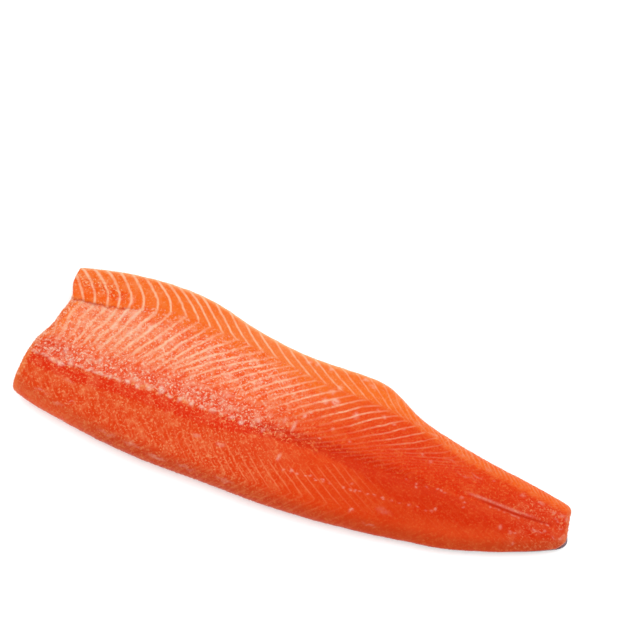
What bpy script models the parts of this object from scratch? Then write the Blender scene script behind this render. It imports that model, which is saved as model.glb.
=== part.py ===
# Raw salmon fillet, one side of the fish laid flat with its skin down
#
# Two pieces: the flesh, and the skin that backs all of it. The head end is at -X and
# the tail end at +X, the back of the fish is at -Y and the belly at +Y. The skin's
# underside lies on Z = 0. Sizes are in metres.

import bmesh
import bpy
import numpy as np

# Whole fillet
LENGTH = 0.500
WIDTH = 0.160
SKIN = 0.0012
GAP = 0.0003

# Height of the flesh over the fish's back at the head, at its thickest and at the tail
HEAD_HEIGHT = 0.027
LOIN_HEIGHT = 0.030
TAIL_HEIGHT = 0.0125

# Outlines seen from above: (share of the length from the head end, share of the width)
BELLY_EDGE = (
    (0.00, 0.374), (0.04, 0.411), (0.10, 0.459), (0.16, 0.489), (0.22, 0.499), (0.28, 0.487),
    (0.34, 0.444), (0.42, 0.411), (0.47, 0.402), (0.52, 0.410), (0.58, 0.421), (0.62, 0.407),
    (0.655, 0.360), (0.69, 0.310), (0.735, 0.274), (0.79, 0.245), (0.86, 0.215), (0.92, 0.198),
    (1.00, 0.158),
)
BACK_EDGE = (
    (0.00, -0.408), (0.03, -0.435), (0.10, -0.468), (0.18, -0.492), (0.26, -0.501),
    (0.38, -0.487), (0.50, -0.470), (0.58, -0.446), (0.66, -0.408), (0.74, -0.361),
    (0.82, -0.303), (0.90, -0.211), (0.96, -0.124), (1.00, -0.052),
)

# Lines that run along the fish: its midline, and the line between ribs and belly strip
MIDLINE = (
    (0.00, -0.190), (0.10, -0.180), (0.25, -0.132), (0.40, -0.122), (0.55, -0.086),
    (0.72, -0.046), (0.85, -0.009), (1.00, 0.020),
)
BELLY_LINE = (
    (0.00, 0.172), (0.05, 0.194), (0.10, 0.219), (0.14, 0.259), (0.17, 0.303), (0.21, 0.329),
    (0.30, 0.328), (0.39, 0.316), (0.47, 0.288), (0.52, 0.275), (0.60, 0.278), (0.67, 0.261),
    (0.74, 0.219), (0.80, 0.183), (0.90, 0.159), (1.00, 0.134),
)

# Cuts across the fish: (share of the width, set in from that end of the length)
HEAD_CUT = (
    (-0.45, 0.0042), (-0.36, 0.0034), (-0.26, 0.0038), (-0.14, 0.0052), (-0.02, 0.0115),
    (0.10, 0.0130), (0.195, 0.0136), (0.25, 0.0096), (0.33, 0.0072), (0.42, 0.0062),
)
TAIL_CUT = (
    (-0.10, 0.0028), (-0.03, 0.0018), (0.06, 0.0040), (0.12, 0.0056), (0.19, 0.0070),
)
SKIN_TAIL_CUT = (
    (-0.10, 0.0006), (-0.03, 0.0000), (0.03, 0.0020), (0.12, 0.0060), (0.19, 0.0076),
)
HEAD_SLANT = 0.006
TAIL_SLANT = 0.0015

# Radius of each corner of the outline: (at the back edge, at the belly edge)
HEAD_CORNERS = (0.0015, 0.0020)
TAIL_CORNERS = (0.0065, 0.0040)
SKIN_TAIL_CORNERS = (0.0060, 0.0040)

# Thickness across the fish, from its back edge at 0 to its belly edge at 1
FRONT_SECTION = (
    (0.0, 0.84), (0.15, 0.97), (0.30, 1.00), (0.44, 0.92), (0.60, 0.77), (0.80, 0.52), (1.0, 0.36),
)
TAIL_SECTION = ((0.0, 0.86), (0.25, 1.00), (0.50, 0.97), (0.75, 0.86), (1.0, 0.66))
HEIGHT = (
    (0.00, HEAD_HEIGHT), (0.15, 0.0290), (0.35, LOIN_HEIGHT), (0.55, 0.0275), (0.72, 0.0215),
    (0.88, 0.0152), (1.00, TAIL_HEIGHT),
)

# The back edge rolls over, and the belly edge is thin and lightly rounded
BACK_ROLL = ((0.0, 0.016), (0.5, 0.017), (0.8, 0.012), (1.0, 0.007))
BELLY_ROLL = ((0.0, 0.006), (0.6, 0.006), (1.0, 0.004))
EDGE_WALL = 0.0028
CUT_RIM = 0.0022

# The skin curls up along both edges
BACK_CURL = ((0.0, 0.0052), (0.6, 0.0050), (1.0, 0.0024))
BELLY_CURL = 0.0016
CURL_REACH = 0.016

# The flesh overhangs its underside, and the skin shows past it only near the tail
BACK_TUCK = ((0.0, 0.0040), (0.6, 0.0040), (0.75, 0.0022), (1.0, 0.0012))
BELLY_TUCK = 0.0016
SKIN_REACH = (
    (0.0, -0.0010), (0.62, -0.0008), (0.74, -0.0004), (0.82, -0.0002), (0.90, -0.0004),
    (0.96, 0.0002), (1.0, 0.0014),
)
SKIN_INSET = 0.0004

# The outlines' own middle lies this far towards the head from the middle of the fillet
MIDDLE = 0.0017

# Relief: the dip along the midline, and the strip of belly wall that stands proud
MIDLINE_DIP = 0.0014
MIDLINE_DIP_HALF_WIDTH = 0.007
STRIP_STEP = 0.0022
STRIP_STEP_WIDTH = 0.0030
STRIP_STEP_ENDS = (0.06, 0.19)
TRIM_REACH = 0.045

# Rows of faces across the fish in each band between its lines, and columns along it
BAND_ROWS = {"back_roll": 5, "loin": 5, "ribs": 5, "step": 1, "belly_strip": 3, "belly_roll": 3}
COLUMNS = 58
SKIN_ROWS = 16
SKIN_COLUMNS = 48

FLESH_COLOUR = (0.83, 0.130, 0.030, 1.0)
SKIN_COLOUR = (0.16, 0.165, 0.17, 1.0)


def smooth_line(stations):
    """A natural cubic spline through (share of the length or width, value) stations."""
    place, value = np.array(stations, float).T
    step = np.diff(place)
    rise = np.diff(value) / step
    system = np.eye(len(place))
    wanted = np.zeros(len(place))
    for i in range(1, len(place) - 1):
        system[i, i - 1 : i + 2] = step[i - 1], 2 * (step[i - 1] + step[i]), step[i]
        wanted[i] = 6 * (rise[i] - rise[i - 1])
    bend = np.linalg.solve(system, wanted)

    def at(share):
        share = np.clip(share, place[0], place[-1])
        i = np.clip(np.searchsorted(place, share, side="right") - 1, 0, len(step) - 1)
        before, after = share - place[i], place[i + 1] - share
        curve = (bend[i] * after**3 + bend[i + 1] * before**3) / (6 * step[i])
        from_left = (value[i] / step[i] - bend[i] * step[i] / 6) * after
        from_right = (value[i + 1] / step[i] - bend[i + 1] * step[i] / 6) * before
        return curve + from_left + from_right

    return at


belly_edge_line = smooth_line(BELLY_EDGE)
back_edge_line = smooth_line(BACK_EDGE)
midline_line = smooth_line(MIDLINE)
belly_strip_line = smooth_line(BELLY_LINE)
head_cut_line = smooth_line(HEAD_CUT)
tail_cut_line = smooth_line(TAIL_CUT)
skin_tail_cut_line = smooth_line(SKIN_TAIL_CUT)
front_section_line = smooth_line(FRONT_SECTION)
tail_section_line = smooth_line(TAIL_SECTION)
height_line = smooth_line(HEIGHT)
back_roll_line = smooth_line(BACK_ROLL)
belly_roll_line = smooth_line(BELLY_ROLL)
back_curl_line = smooth_line(BACK_CURL)
back_tuck_line = smooth_line(BACK_TUCK)
skin_reach_line = smooth_line(SKIN_REACH)


def share_along(x):
    return x / LENGTH + 0.5


def ease(value, start, end):
    """0 at start, 1 at end, level at both."""
    q = np.clip((value - start) / (end - start), 0, 1)
    return q * q * (3 - 2 * q)


def rounded(depth, reach):
    """The quarter of an ellipse that climbs from 0 on an edge to 1 at reach in from it."""
    q = np.clip(depth / reach, 0, 1)
    return np.sqrt(1 - (1 - q) ** 2)


def back_edge(x):
    return WIDTH * back_edge_line(share_along(x))


def belly_edge(x):
    return WIDTH * belly_edge_line(share_along(x))


def lines_along(x):
    """The y of each line that parts one band of rows from the next, from back to belly."""
    s = share_along(x)
    back, belly = back_edge(x), belly_edge(x)
    strip = WIDTH * belly_strip_line(s)
    return [
        back,
        back + back_roll_line(s),
        WIDTH * midline_line(s),
        strip - STRIP_STEP_WIDTH / 2,
        strip + np.minimum(STRIP_STEP_WIDTH / 2, 0.3 * (belly - strip)),
        belly - np.minimum(belly_roll_line(s), 0.4 * (belly - strip)),
        belly,
    ]


def row_places(counts):
    """A place for each row: whole numbers lie on the lines, with rows crowded at both edges."""
    places = [0.0]
    last = len(counts) - 1
    for band, count in enumerate(counts):
        for k in range(1, count + 1):
            q = k / count
            if band == 0:
                q = 1 - np.cos(q * np.pi / 2)
            if band == last:
                q = np.sin(q * np.pi / 2)
            places.append(band + q)
    return np.array(places)


def column_places(count):
    """Shares from cut to cut, with one column at each cut's rounded rim."""
    rim = CUT_RIM / LENGTH
    return np.concatenate([[0.0], np.linspace(rim, 1 - rim, count - 1), [1.0]])


def across(x, place):
    """The y at a row's place, by a straight run from line to line."""
    lines = np.stack(lines_along(x))
    band = np.clip(np.floor(place).astype(int), 0, len(lines) - 2)
    near = np.take_along_axis(lines, band[None], 0)[0]
    far = np.take_along_axis(lines, band[None] + 1, 0)[0]
    return near + (place - band) * (far - near)


def cut_end(side, cut, corners, tuck, places):
    """The x where each row meets a cut: side is -1 at the head end and 1 at the tail end."""
    near = np.full(places.shape, side * (LENGTH / 2 - max(corners)))
    y = across(near, places)
    depths = (y - back_edge(near), belly_edge(near) - y)
    inset = cut(y / WIDTH) + tuck
    for radius, depth in zip(corners, depths):
        inset = inset + radius * (1 - rounded(depth, radius))
    return side * (LENGTH / 2 - inset)


def plan(columns, places, head_tuck, tail_cut, tail_tuck, tail_corners):
    """x and y of every vertex of a grid laid between the cuts, as arrays of columns by rows."""
    start = cut_end(-1, head_cut_line, HEAD_CORNERS, head_tuck, places)
    end = cut_end(1, tail_cut, tail_corners, tail_tuck, places)
    share = columns[:, None]
    x = start[None] * (1 - share) + end[None] * share
    place = np.broadcast_to(places[None], x.shape)
    y = across(x.ravel(), place.ravel().copy()).reshape(x.shape)
    return x, y


def underside(x, y):
    """Height of the skin's lower face: flat, and curled up along the back and belly edges."""
    s = share_along(x)
    from_back = np.clip(1 - (y - back_edge(x)) / CURL_REACH, 0, 1.3)
    from_belly = np.clip(1 - (belly_edge(x) - y) / CURL_REACH, 0, 1.3)
    return back_curl_line(s) * from_back**2 + BELLY_CURL * from_belly**2


def flesh_height(x, y):
    """Height of the flesh's upper face before its edges are rounded."""
    s = share_along(x)
    lines = lines_along(x)
    share = np.clip((y - lines[0]) / (lines[-1] - lines[0]), 0, 1)
    tail = ease(s, 0.45, 0.95)
    form = front_section_line(share) * (1 - tail) + tail_section_line(share) * tail
    dip = MIDLINE_DIP * np.exp(-(((y - lines[2]) / MIDLINE_DIP_HALF_WIDTH) ** 2))
    trim = 1 - ease(s, *STRIP_STEP_ENDS)
    ribs = ease(y, lines[3] - TRIM_REACH, lines[3]) * (1 - ease(y, lines[3], lines[4]))
    return height_line(s) * form - dip - STRIP_STEP * trim * ribs


def flesh_top(x, y, from_cut):
    """Height of the flesh's upper face, rolled over at the back and belly and rounded at the cuts."""
    s = share_along(x)
    edge = underside(x, y) + SKIN + GAP + EDGE_WALL
    roll = rounded(y - back_edge(x), back_roll_line(s))
    roll = roll * rounded(belly_edge(x) - y, belly_roll_line(s))
    rim = CUT_RIM * (1 - rounded(from_cut, CUT_RIM))
    return edge + (flesh_height(x, y) - edge) * roll - np.minimum(rim, 0.5 * roll)


def new_object(name, mesh_builder, colour, roughness, coat):
    shell = bmesh.new()
    mesh_builder(shell)
    bmesh.ops.translate(shell, verts=shell.verts, vec=(-MIDDLE, 0.0, 0.0))
    bmesh.ops.recalc_face_normals(shell, faces=shell.faces)
    bmesh.ops.triangulate(shell, faces=[f for f in shell.faces if len(f.verts) > 3])
    mesh = bpy.data.meshes.new(name)
    shell.to_mesh(mesh)
    shell.free()
    mesh.shade_smooth()
    mesh.set_sharp_from_angle(angle=np.radians(50))
    material = bpy.data.materials.new(name)
    material.use_nodes = True
    finish = material.node_tree.nodes["Principled BSDF"]
    finish.inputs["Base Color"].default_value = colour
    finish.inputs["Roughness"].default_value = roughness
    finish.inputs["Metallic"].default_value = 0.0
    finish.inputs["Coat Weight"].default_value = coat
    mesh.materials.append(material)
    made = bpy.data.objects.new(name, mesh)
    bpy.context.scene.collection.objects.link(made)
    return made


def closed_slab(shell, columns, rows, upper, lower):
    """A grid of quads pulled into an upper face, extruded down and pulled into a lower one."""
    made = bmesh.ops.create_grid(shell, x_segments=columns, y_segments=rows, size=0.5)
    grid = sorted(made["verts"], key=lambda v: (round(v.co.x, 6), round(v.co.y, 6)))
    upper_places = np.stack([part.ravel() for part in upper], axis=1)
    lower_places = np.stack([part.ravel() for part in lower], axis=1)
    order = {vertex: i for i, vertex in enumerate(grid)}
    faces = list(shell.faces)
    copied = bmesh.ops.duplicate(shell, geom=grid + list(shell.edges) + faces)
    twin = copied["vert_map"]
    for vertex, i in order.items():
        vertex.co = upper_places[i]
        twin[vertex].co = lower_places[i]
    rims = [edge for edge in shell.edges if edge.is_boundary]
    bmesh.ops.bridge_loops(shell, edges=rims)


def flesh_shell(shell):
    places = row_places(list(BAND_ROWS.values()))
    columns = column_places(COLUMNS)
    x, y = plan(columns, places, 0.0, tail_cut_line, 0.0, TAIL_CORNERS)
    from_cut = np.minimum(x - x[:1], x[-1:] - x)
    z = flesh_top(x, y, from_cut)
    low_x, low_y = plan(columns, places, HEAD_SLANT, tail_cut_line, TAIL_SLANT, TAIL_CORNERS)
    s = share_along(low_x)
    back, belly = back_edge(low_x), belly_edge(low_x)
    back_in = back + back_tuck_line(s)
    belly_in = belly - BELLY_TUCK
    low_y = back_in + (low_y - back) * (belly_in - back_in) / (belly - back)
    low_z = underside(low_x, low_y) + SKIN + GAP
    closed_slab(shell, COLUMNS, len(places) - 1, (x, y, z), (low_x, low_y, low_z))


def skin_shell(shell):
    places = np.linspace(0, len(BAND_ROWS), SKIN_ROWS + 1)
    columns = column_places(SKIN_COLUMNS)
    head_tuck = HEAD_SLANT + SKIN_INSET
    x, y = plan(columns, places, head_tuck, skin_tail_cut_line, 0.0, SKIN_TAIL_CORNERS)
    s = share_along(x)
    back, belly = back_edge(x), belly_edge(x)
    back_out = back + back_tuck_line(s) - skin_reach_line(s)
    belly_in = belly - BELLY_TUCK - SKIN_INSET
    y = back_out + (y - back) * (belly_in - back_out) / (belly - back)
    z = underside(x, y)
    closed_slab(shell, SKIN_COLUMNS, SKIN_ROWS, (x, y, z + SKIN), (x, y, z))


for old in list(bpy.data.objects):
    bpy.data.objects.remove(old, do_unlink=True)

flesh = new_object("flesh", flesh_shell, FLESH_COLOUR, 0.38, 0.25)
skin = new_object("skin", skin_shell, SKIN_COLOUR, 0.30, 0.35)
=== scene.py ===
# %% [markdown]
# # A raw salmon fillet
# One side of a salmon lies with its skin down on a pale worktop. The light reaches it
# from a wide soft source, and the camera looks down on it from the side of the fish's back.
# This lesson makes the two pieces that a real fillet has, the flesh and the skin, and
# gives each of them a finish that is worked out by rules and needs no picture.

import bmesh
import bpy
import numpy as np
from mathutils import Matrix, Vector


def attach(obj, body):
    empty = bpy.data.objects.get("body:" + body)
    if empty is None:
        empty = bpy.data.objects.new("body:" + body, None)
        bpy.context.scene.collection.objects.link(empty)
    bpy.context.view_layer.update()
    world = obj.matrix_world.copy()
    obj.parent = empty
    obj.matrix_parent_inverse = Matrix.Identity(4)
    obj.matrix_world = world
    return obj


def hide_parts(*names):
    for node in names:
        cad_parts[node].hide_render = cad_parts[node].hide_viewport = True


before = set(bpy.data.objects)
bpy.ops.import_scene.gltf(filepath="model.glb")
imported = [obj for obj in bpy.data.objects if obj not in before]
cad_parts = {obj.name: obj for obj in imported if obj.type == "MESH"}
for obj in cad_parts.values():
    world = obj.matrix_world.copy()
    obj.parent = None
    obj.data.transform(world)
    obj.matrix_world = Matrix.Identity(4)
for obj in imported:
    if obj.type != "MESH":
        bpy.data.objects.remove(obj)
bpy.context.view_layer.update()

print("Frame nodes:", sorted(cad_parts))

# %% [markdown]
# ## Curves through named places
# Almost nothing on a fish is straight. Each outline and each line on the flesh is kept as
# a few places with a value at each, and a natural cubic spline runs through them. Blender
# could hold such a line as a curve object, but here it is read at a hundred thousand
# points at once, so a short function is handier. MIDDLE is how far the outlines' own middle
# lies from the middle of the finished fillet, which sits on the origin.

# %% Splines and soft steps
LENGTH = 0.500
WIDTH = 0.160
MIDDLE = 0.0017
MM = 1000.0


def smooth_line(stations):
    """A natural cubic spline through (place, value) stations, carried on straight past its ends."""
    place, value = np.array(stations, float).T
    step = np.diff(place)
    rise = np.diff(value) / step
    system = np.eye(len(place))
    wanted = np.zeros(len(place))
    for i in range(1, len(place) - 1):
        system[i, i - 1 : i + 2] = step[i - 1], 2 * (step[i - 1] + step[i]), step[i]
        wanted[i] = 6 * (rise[i] - rise[i - 1])
    bend = np.linalg.solve(system, wanted)
    start_slope = rise[0] - step[0] * bend[1] / 6
    end_slope = rise[-1] + step[-1] * bend[-2] / 6

    def at(where):
        inner = np.clip(where, place[0], place[-1])
        i = np.clip(np.searchsorted(place, inner, side="right") - 1, 0, len(step) - 1)
        before, after = inner - place[i], place[i + 1] - inner
        curve = (bend[i] * after**3 + bend[i + 1] * before**3) / (6 * step[i])
        from_left = (value[i] / step[i] - bend[i] * step[i] / 6) * after
        from_right = (value[i + 1] / step[i] - bend[i + 1] * step[i] / 6) * before
        beyond = np.where(where < place[0], start_slope, end_slope) * (where - inner)
        return curve + from_left + from_right + beyond

    return at


def ease(value, start, end):
    """0 at start, 1 at end, level at both."""
    part = np.clip((value - start) / (end - start), 0, 1)
    return part * part * (3 - 2 * part)


def rounded(depth, reach):
    """The quarter of an ellipse that climbs from 0 on an edge to 1 at reach in from it."""
    part = np.clip(depth / reach, 0, 1)
    return np.sqrt(1 - (1 - part) ** 2)


# %% [markdown]
# ## The outline of the fillet
# The belly edge swells and narrows where the knife followed the belly wall, the back edge
# is one long bow, and both cuts across the fish wander a little. Places run from 0 at the
# head end to 1 at the tail end, and values are shares of the fillet's width. The cuts are
# given the other way round: places are shares of the width, and values say in metres how far
# in from the fillet's full length the knife went.

# %% Edges, midline and cuts
belly_edge_line = smooth_line((
    (0.00, 0.374), (0.04, 0.411), (0.10, 0.459), (0.16, 0.489), (0.22, 0.499), (0.28, 0.487),
    (0.34, 0.444), (0.42, 0.411), (0.47, 0.402), (0.52, 0.410), (0.58, 0.421), (0.62, 0.407),
    (0.655, 0.360), (0.69, 0.310), (0.735, 0.274), (0.79, 0.245), (0.86, 0.215), (0.92, 0.198),
    (1.00, 0.158),
))
back_edge_line = smooth_line((
    (0.00, -0.408), (0.03, -0.435), (0.10, -0.468), (0.18, -0.492), (0.26, -0.501),
    (0.38, -0.487), (0.50, -0.470), (0.58, -0.446), (0.66, -0.408), (0.74, -0.361),
    (0.82, -0.303), (0.90, -0.211), (0.96, -0.124), (1.00, -0.052),
))
midline_line = smooth_line((
    (0.00, -0.190), (0.10, -0.180), (0.25, -0.132), (0.40, -0.122), (0.55, -0.086),
    (0.72, -0.046), (0.85, -0.009), (1.00, 0.020),
))
belly_line_line = smooth_line((
    (0.00, 0.172), (0.05, 0.194), (0.10, 0.219), (0.14, 0.259), (0.17, 0.303), (0.21, 0.329),
    (0.30, 0.328), (0.39, 0.316), (0.47, 0.288), (0.52, 0.275), (0.60, 0.278), (0.67, 0.261),
    (0.74, 0.219), (0.80, 0.183), (0.90, 0.159), (1.00, 0.134),
))
head_cut_line = smooth_line((
    (-0.45, 0.0042), (-0.36, 0.0034), (-0.26, 0.0038), (-0.14, 0.0052), (-0.02, 0.0115),
    (0.10, 0.0130), (0.195, 0.0136), (0.25, 0.0096), (0.33, 0.0072), (0.42, 0.0062),
))
tail_cut_line = smooth_line((
    (-0.10, 0.0028), (-0.03, 0.0018), (0.06, 0.0040), (0.12, 0.0056), (0.19, 0.0070),
))
skin_tail_cut_line = smooth_line((
    (-0.10, 0.0006), (-0.03, 0.0000), (0.03, 0.0020), (0.12, 0.0060), (0.19, 0.0076),
))


def share_along(x):
    return np.clip(x / LENGTH + 0.5, 0, 1)


def back_edge(x):
    return WIDTH * back_edge_line(share_along(x))


def belly_edge(x):
    return WIDTH * belly_edge_line(share_along(x))


def midline(x):
    return WIDTH * midline_line(share_along(x))


def belly_line(x):
    return WIDTH * belly_line_line(share_along(x))


# %% [markdown]
# ## The height of the flesh
# A fillet is thick over the back muscle and thin at the belly wall. The head end keeps the
# deep section of the shoulder, and towards the tail both sides even out. The trimmed ribs
# leave a step along the belly strip, and the midline lies in a shallow dip.

# %% Sections and heights
SKIN = 0.0012
GAP = 0.0003
EDGE_WALL = 0.0028
CUT_RIM = 0.0022
CURL_REACH = 0.016
BELLY_CURL = 0.0016
MIDLINE_DIP = 0.0014
MIDLINE_DIP_HALF_WIDTH = 0.007
STRIP_STEP = 0.0022
STRIP_STEP_WIDTH = 0.0030
STRIP_STEP_ENDS = (0.06, 0.19)
TRIM_REACH = 0.045
SECTION_CHANGE = (0.45, 0.95)

front_section = smooth_line((
    (0.0, 0.84), (0.15, 0.97), (0.30, 1.00), (0.44, 0.92), (0.60, 0.77), (0.80, 0.52), (1.0, 0.36),
))
tail_section = smooth_line(((0.0, 0.86), (0.25, 1.00), (0.50, 0.97), (0.75, 0.86), (1.0, 0.66)))
height_line = smooth_line((
    (0.00, 0.0270), (0.15, 0.0290), (0.35, 0.0300), (0.55, 0.0275), (0.72, 0.0215),
    (0.88, 0.0152), (1.00, 0.0125),
))
back_roll_line = smooth_line(((0.0, 0.016), (0.5, 0.017), (0.8, 0.012), (1.0, 0.007)))
belly_roll_line = smooth_line(((0.0, 0.006), (0.6, 0.006), (1.0, 0.004)))
back_curl_line = smooth_line(((0.0, 0.0052), (0.6, 0.0050), (1.0, 0.0024)))


def lines_along(x):
    """The y of each line that parts one band of rows from the next, from back to belly."""
    along = share_along(x)
    back, belly, strip = back_edge(x), belly_edge(x), belly_line(x)
    return [
        back,
        back + back_roll_line(along),
        midline(x),
        strip - STRIP_STEP_WIDTH / 2,
        strip + np.minimum(STRIP_STEP_WIDTH / 2, 0.3 * (belly - strip)),
        belly - np.minimum(belly_roll_line(along), 0.4 * (belly - strip)),
        belly,
    ]


def underside(x, y):
    """Height of the skin's lower face: flat, and curled up along the back and belly edges."""
    along = share_along(x)
    from_back = np.clip(1 - (y - back_edge(x)) / CURL_REACH, 0, 1.3)
    from_belly = np.clip(1 - (belly_edge(x) - y) / CURL_REACH, 0, 1.3)
    return back_curl_line(along) * from_back**2 + BELLY_CURL * from_belly**2


def flesh_height(x, y):
    """Height of the flesh's upper face before its edges are rounded."""
    along = share_along(x)
    lines = lines_along(x)
    share = np.clip((y - lines[0]) / (lines[-1] - lines[0]), 0, 1)
    tail = ease(along, *SECTION_CHANGE)
    form = front_section(share) * (1 - tail) + tail_section(share) * tail
    dip = MIDLINE_DIP * np.exp(-(((y - lines[2]) / MIDLINE_DIP_HALF_WIDTH) ** 2))
    trim = 1 - ease(along, *STRIP_STEP_ENDS)
    ribs = ease(y, lines[3] - TRIM_REACH, lines[3]) * (1 - ease(y, lines[3], lines[4]))
    return height_line(along) * form - dip - STRIP_STEP * trim * ribs


def flesh_top(x, y, from_cut):
    """Height of the flesh's upper face, rolled over at the edges and rounded at the cuts."""
    along = share_along(x)
    edge = underside(x, y) + SKIN + GAP + EDGE_WALL
    roll = rounded(y - back_edge(x), back_roll_line(along))
    roll = roll * rounded(belly_edge(x) - y, belly_roll_line(along))
    rim = CUT_RIM * (1 - rounded(from_cut, CUT_RIM))
    return edge + (flesh_height(x, y) - edge) * roll - np.minimum(rim, 0.5 * roll)


# %% [markdown]
# ## A closed slab from one grid
# `create_grid` makes a sheet of quads, `duplicate` makes its twin and `bridge_loops` joins
# the two rims, so the body is closed. The rows follow the fish's own lines, so a line on
# the flesh never cuts slantwise through its quads. The wall between the rims is split by
# `subdivide_edges`, because the cut at the head end is 25 mm high and shows its grain.

# %% Laying a grid between the cuts
HEAD_CORNERS = (0.0015, 0.0020)
TAIL_CORNERS = (0.0065, 0.0040)
RIM_COLUMNS = 4


def across(x, place):
    """The y at a row's place, by a straight run from line to line."""
    lines = np.stack(lines_along(x))
    band = np.clip(np.floor(place).astype(int), 0, len(lines) - 2)
    near = np.take_along_axis(lines, band[None], 0)[0]
    far = np.take_along_axis(lines, band[None] + 1, 0)[0]
    return near + (place - band) * (far - near)


def row_places(counts):
    """A place for each row: whole numbers lie on the lines, with rows crowded at both edges."""
    places = [np.zeros(1)]
    for band, count in enumerate(counts):
        part = np.arange(1, count + 1) / count
        if band == 0:
            part = 1 - np.cos(part * np.pi / 2)
        if band == len(counts) - 1:
            part = np.sin(part * np.pi / 2)
        places.append(band + part)
    return np.concatenate(places)


def column_places(count):
    """Shares from cut to cut, with a few columns crowded on each cut's rounded rim."""
    rim = CUT_RIM / LENGTH
    crowded = rim * (1 - np.cos(np.arange(RIM_COLUMNS) / RIM_COLUMNS * np.pi / 2))
    middle = np.linspace(rim, 1 - rim, count + 1 - 2 * RIM_COLUMNS)
    return np.concatenate([crowded, middle, 1 - crowded[::-1]])


def cut_end(side, cut, corners, tuck, places):
    """The x where each row meets a cut: side is -1 at the head end and 1 at the tail end."""
    near = np.full(places.shape, side * (LENGTH / 2 - max(corners)))
    y = across(near, places)
    depths = (y - back_edge(near), belly_edge(near) - y)
    inset = cut(y / WIDTH) + tuck
    for radius, depth in zip(corners, depths):
        inset = inset + radius * (1 - rounded(depth, radius))
    return side * (LENGTH / 2 - inset)


def plan(columns, places, head_tuck, tail_cut, tail_tuck, tail_corners):
    """x and y of every vertex of a grid laid between the cuts, as arrays of columns by rows."""
    start = cut_end(-1, head_cut_line, HEAD_CORNERS, head_tuck, places)
    end = cut_end(1, tail_cut, tail_corners, tail_tuck, places)
    share = columns[:, None]
    x = start[None] * (1 - share) + end[None] * share
    place = np.broadcast_to(places[None], x.shape)
    y = across(x.ravel(), place.ravel().copy()).reshape(x.shape)
    return x, y


def closed_slab(name, upper, lower, wall_cuts, coarser):
    """A mesh with an upper and a lower face of quads and a wall of wall_cuts + 1 rows."""
    columns, rows = upper[0].shape
    shell = bmesh.new()
    bmesh.ops.create_grid(shell, x_segments=columns - 1, y_segments=rows - 1, size=0.5)
    grid = sorted(shell.verts, key=lambda v: (round(v.co.x, 6), round(v.co.y, 6)))
    edges, faces = list(shell.edges), list(shell.faces)
    twin = bmesh.ops.duplicate(shell, geom=grid + edges + faces)["vert_map"]
    upper_places = np.stack([part.ravel() for part in upper], axis=1)
    lower_places = np.stack([part.ravel() for part in lower], axis=1)
    for i, vertex in enumerate(grid):
        vertex.co = upper_places[i]
        twin[vertex].co = lower_places[i]
    if coarser:
        hidden = [twin[v] for v in grid if not v.is_boundary]
        bmesh.ops.unsubdivide(shell, verts=hidden, iterations=coarser)
    rims = [edge for edge in shell.edges if edge.is_boundary]
    wall = bmesh.ops.bridge_loops(shell, edges=rims)["edges"]
    if wall_cuts:
        bmesh.ops.subdivide_edges(shell, edges=wall, cuts=wall_cuts, use_grid_fill=True)
    bmesh.ops.recalc_face_normals(shell, faces=shell.faces)
    bmesh.ops.triangulate(shell, faces=[f for f in shell.faces if len(f.verts) > 4])
    mesh = bpy.data.meshes.new(name)
    shell.to_mesh(mesh)
    shell.free()
    mesh.shade_smooth()
    mesh.calc_loop_triangles()
    print(name, len(mesh.vertices), "vertices", len(mesh.loop_triangles), "triangles")
    return mesh


# %% [markdown]
# ## The body of the flesh
# The rows are about a millimetre apart, which is fine enough to carry the fat lines and the
# grain as real relief. The underside is hidden by the skin, so `unsubdivide` thins it out.

# %% Flesh slab
FLESH_ROWS = {
    "back_roll": 18, "loin": 46, "ribs": 56, "step": 4, "belly_strip": 16, "belly_roll": 8,
}
FLESH_COLUMNS = 470
WALL_CUTS = 9
COARSER = 6
HEAD_SLANT = 0.006
TAIL_SLANT = 0.0015
BELLY_TUCK = 0.0016
back_tuck_line = smooth_line(((0.0, 0.0040), (0.6, 0.0040), (0.75, 0.0022), (1.0, 0.0012)))

places = row_places(list(FLESH_ROWS.values()))
columns = column_places(FLESH_COLUMNS)
top_x, top_y = plan(columns, places, 0.0, tail_cut_line, 0.0, TAIL_CORNERS)
from_cut = np.minimum(top_x - top_x[:1], top_x[-1:] - top_x)
top_z = flesh_top(top_x, top_y, from_cut)
low_x, low_y = plan(columns, places, HEAD_SLANT, tail_cut_line, TAIL_SLANT, TAIL_CORNERS)
back, belly = back_edge(low_x), belly_edge(low_x)
back_in = back + back_tuck_line(share_along(low_x))
belly_in = belly - BELLY_TUCK
low_y = back_in + (low_y - back) * (belly_in - back_in) / (belly - back)
low_z = underside(low_x, low_y) + SKIN + GAP
flesh_mesh = closed_slab(
    "flesh_body", (top_x, top_y, top_z), (low_x, low_y, low_z), WALL_CUTS, COARSER
)

# %% [markdown]
# ## Counting the muscle segments
# The side of a salmon is built of about sixty thin muscle segments, stacked like bent cones.
# Where the knife opens them, the fat between two segments shows as a pale line. The tables
# say where every few lines cross a few lines along the fish, in millimetres from its middle.
# A point between them gets a count with a fraction, and the fat lies at the whole numbers.
# The ribs and the belly strip have a table each, because towards the tail their lines part.
# Most numbers in the rib table and a third of those in the strip table are the rounded
# result of a separate program that fitted the lines to a photograph. The others were changed
# or added after that.

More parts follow.
